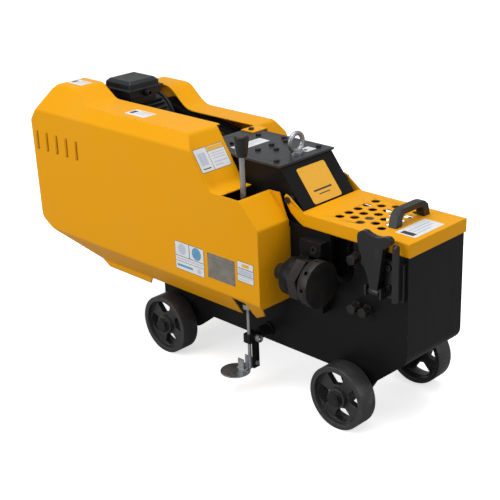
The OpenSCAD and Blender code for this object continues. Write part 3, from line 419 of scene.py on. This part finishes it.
def pressed_lips(name, body, slit_xs, z0, z1, y, reach=8.0, proud=2.4, rows_along=16, rows_across=6):
    """Sheet pressed outwards along one side of each slit: mm reach and height, tapering to both ends"""
    bm = bmesh.new()
    for x in slit_xs:
        for outer in (0.0, 1.0):
            grid = []
            for i in range(rows_along + 1):
                t = i / rows_along
                bulge = math.sin(math.pi * t) ** 0.6
                line = []
                for j in range(rows_across + 1):
                    u = j / rows_across
                    height = proud * bulge * (1 - u) ** 1.6 * (1 + 0.6 * u)
                    sheet_y = y - (height + 0.12) * MM if outer else y + 0.6 * MM
                    line.append(bm.verts.new((x - reach * u * MM, sheet_y, z0 + (z1 - z0) * t)))
                grid.append(line)
            if outer:
                top = grid
            else:
                foot = grid
        for i in range(rows_along):
            for j in range(rows_across):
                bm.faces.new((top[i][j], top[i + 1][j], top[i + 1][j + 1], top[i][j + 1]))
                bm.faces.new((foot[i][j], foot[i][j + 1], foot[i + 1][j + 1], foot[i + 1][j]))
            bm.faces.new((top[i][0], foot[i][0], foot[i + 1][0], top[i + 1][0]))
            bm.faces.new((top[i][-1], top[i + 1][-1], foot[i + 1][-1], foot[i][-1]))
        for j in range(rows_across):
            bm.faces.new((top[0][j], top[0][j + 1], foot[0][j + 1], foot[0][j]))
            bm.faces.new((top[-1][j], foot[-1][j], foot[-1][j + 1], top[-1][j + 1]))
    bmesh.ops.recalc_face_normals(bm, faces=bm.faces)
    for face in bm.faces:
        face.smooth = abs(face.normal.y) > 0.3
    return new_piece(name, bm, [LOOKS["yellow_paint"]], body)


# The slits in the near cover, from its rear edge, in mm
FIRST_SLIT, SLIT_PITCH, SLITS = 24, 44, 5
slit_xs = [near_low[0] + (FIRST_SLIT + i * SLIT_PITCH) * MM for i in range(SLITS)]
pressed_lips("louvre_lips", "frame", slit_xs, 0.503, 0.556, side_y)

NOTICE = [("bar", 0.08, 0.25, 0.26, 0.75, INK), ("bar", 0.34, 0.55, 0.94, 0.66, PALE),
          ("bar", 0.34, 0.32, 0.8, 0.43, PALE), ("bar", 0.34, 0.78, 0.94, 0.88, AMBER)]
label("label_top_middle", "frame", (-0.215, side_y + 66 * MM, flat_top), RIGHT, ACROSS, 78, 44, WHITE, NOTICE)
label("label_top_rear", "frame", (-0.487, side_y + 84 * MM, cover_top), RIGHT, ACROSS, 62, 40, WHITE, NOTICE)

plate_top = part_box("top_plate")[1][2]
label("label_plate_rear", "frame", (0.0435, 0.0025, plate_top), ACROSS, REAR, 105, 37, WHITE,
      rows(0.08, 0.9, 0.2, 0.85, 3, PALE, 0.6), corner=1.5)
label("label_plate_front", "frame", (0.187, 0.0585, plate_top), ACROSS, REAR, 35, 28, WHITE,
      [("disc", 0.1, 0.3, 0.45, 0.75, INK)] + rows(0.5, 0.9, 0.25, 0.8, 3, PALE), corner=1.2)

face_top, face_foot = Vector((0.222, 0, 0.580)), Vector((0.294, 0, 0.489))
fall = (face_foot - face_top).normalized()
centre = face_top + fall * 0.0655 + Vector((0, 0.015, 0))
label("plate_housing_front", "frame", centre, ACROSS, -fall, 100, 97, AMBER,
      [("bar", 0.18, 0.30, 0.82, 0.345, INK), ("bar", 0.30, 0.20, 0.70, 0.225, INK)], corner=6, thick=0.8)

cover_sheet_top = 0.4886
label("label_cover", "cover", (0.573, 0.003, cover_sheet_top), ACROSS, REAR, 110, 56, WHITE,
      [("bar", 0.05, 0.18, 0.19, 0.82, INK), ("bar", 0.22, 0.60, 0.94, 0.68, PALE),
       ("bar", 0.22, 0.40, 0.9, 0.48, PALE), ("bar", 0.22, 0.20, 0.7, 0.28, PALE)], corner=1.5)


# ---------------------------------------------------------------- stage, light, camera

FLOOR_REACH = 30
FLOOR_GLOW = 0.62       # added to the floor as the camera sees it, so that it is white
ROOM_LIGHT = 0.47       # light on the machine from all round
ROOM_WHITE = 1.0        # what the camera sees behind the machine

corners = [(x * FLOOR_REACH, y * FLOOR_REACH, 0) for x, y in ((-1, -1), (1, -1), (1, 1), (-1, 1))]
floor_mesh = bpy.data.meshes.new("floor")
floor_mesh.from_pydata(corners, [], [(0, 1, 2, 3)])
floor = bpy.data.objects.new("floor", floor_mesh)
scene.collection.objects.link(floor)
paper = Look("floor_paper", (0.93, 0.93, 0.93), 0.9, specular=0.0)
seen_floor = paper.tree.nodes.new("ShaderNodeLightPath").outputs["Is Camera Ray"]
paper.shader.inputs["Emission Color"].default_value = (1, 1, 1, 1)
paper.link(paper.math("MULTIPLY", seen_floor, FLOOR_GLOW), paper.shader.inputs["Emission Strength"])
pale = paper.mix(paper.noise(0.6, 2), (0.935, 0.935, 0.935), (0.925, 0.925, 0.927))
grey = (0.42, 0.42, 0.42)
floor_mesh.materials.append(paper.done(paper.mix(seen_floor, grey, pale)))

world = bpy.data.worlds.new("studio")
world.use_nodes = True
sky = world.node_tree.nodes["Background"]
sky.inputs["Color"].default_value = (1, 1, 1, 1)
rays = world.node_tree.nodes.new("ShaderNodeLightPath")
seen = world.node_tree.nodes.new("ShaderNodeMapRange")
seen.inputs["To Min"].default_value = ROOM_LIGHT
seen.inputs["To Max"].default_value = ROOM_WHITE
world.node_tree.links.new(rays.outputs["Is Camera Ray"], seen.inputs["Value"])
world.node_tree.links.new(seen.outputs[0], sky.inputs["Strength"])
scene.world = world
scene.view_settings.view_transform = "Standard"


def lamp(name, place, aim, size, power):
    """A rectangular area light that looks at its aim; size in metres, power in watts"""
    data = bpy.data.lights.new(name, "AREA")
    data.shape = "RECTANGLE"
    data.size, data.size_y = size
    data.energy = power
    obj = bpy.data.objects.new(name, data)
    scene.collection.objects.link(obj)
    obj.location = place
    obj.rotation_euler = (Vector(aim) - Vector(place)).to_track_quat("-Z", "Y").to_euler()


lamp("top_softbox", (0.2, -0.3, 3.2), (0, 0, 0.3), (3.0, 3.0), 66)
lamp("side_softbox", (-0.9, -3.0, 1.6), (0, 0, 0.3), (2.4, 1.8), 44)
lamp("front_strip", (3.4, 0.6, 1.3), (0.3, 0, 0.3), (0.8, 2.0), 15)

CAMERA_PLACE = Vector((1.97970, -1.91560, 1.40933))
LENS_MM, SENSOR_MM = 81.06, 36
azimuth, elevation, roll = (math.radians(v) for v in (45.5, 22.18, -2.25))
reach = math.cos(elevation)
back = Vector((math.sin(azimuth) * reach, -math.cos(azimuth) * reach, math.sin(elevation)))
level = Vector((math.cos(azimuth), math.sin(azimuth), 0))
upright = back.cross(level)
right = level * math.cos(roll) + upright * math.sin(roll)
up = upright * math.cos(roll) - level * math.sin(roll)
lens = bpy.data.cameras.new("camera")
lens.lens = LENS_MM
lens.sensor_width = SENSOR_MM
camera = bpy.data.objects.new("camera", lens)
scene.collection.objects.link(camera)
turn = Matrix((right, up, back)).transposed().to_4x4()
turn.translation = CAMERA_PLACE
camera.matrix_world = turn
scene.camera = camera
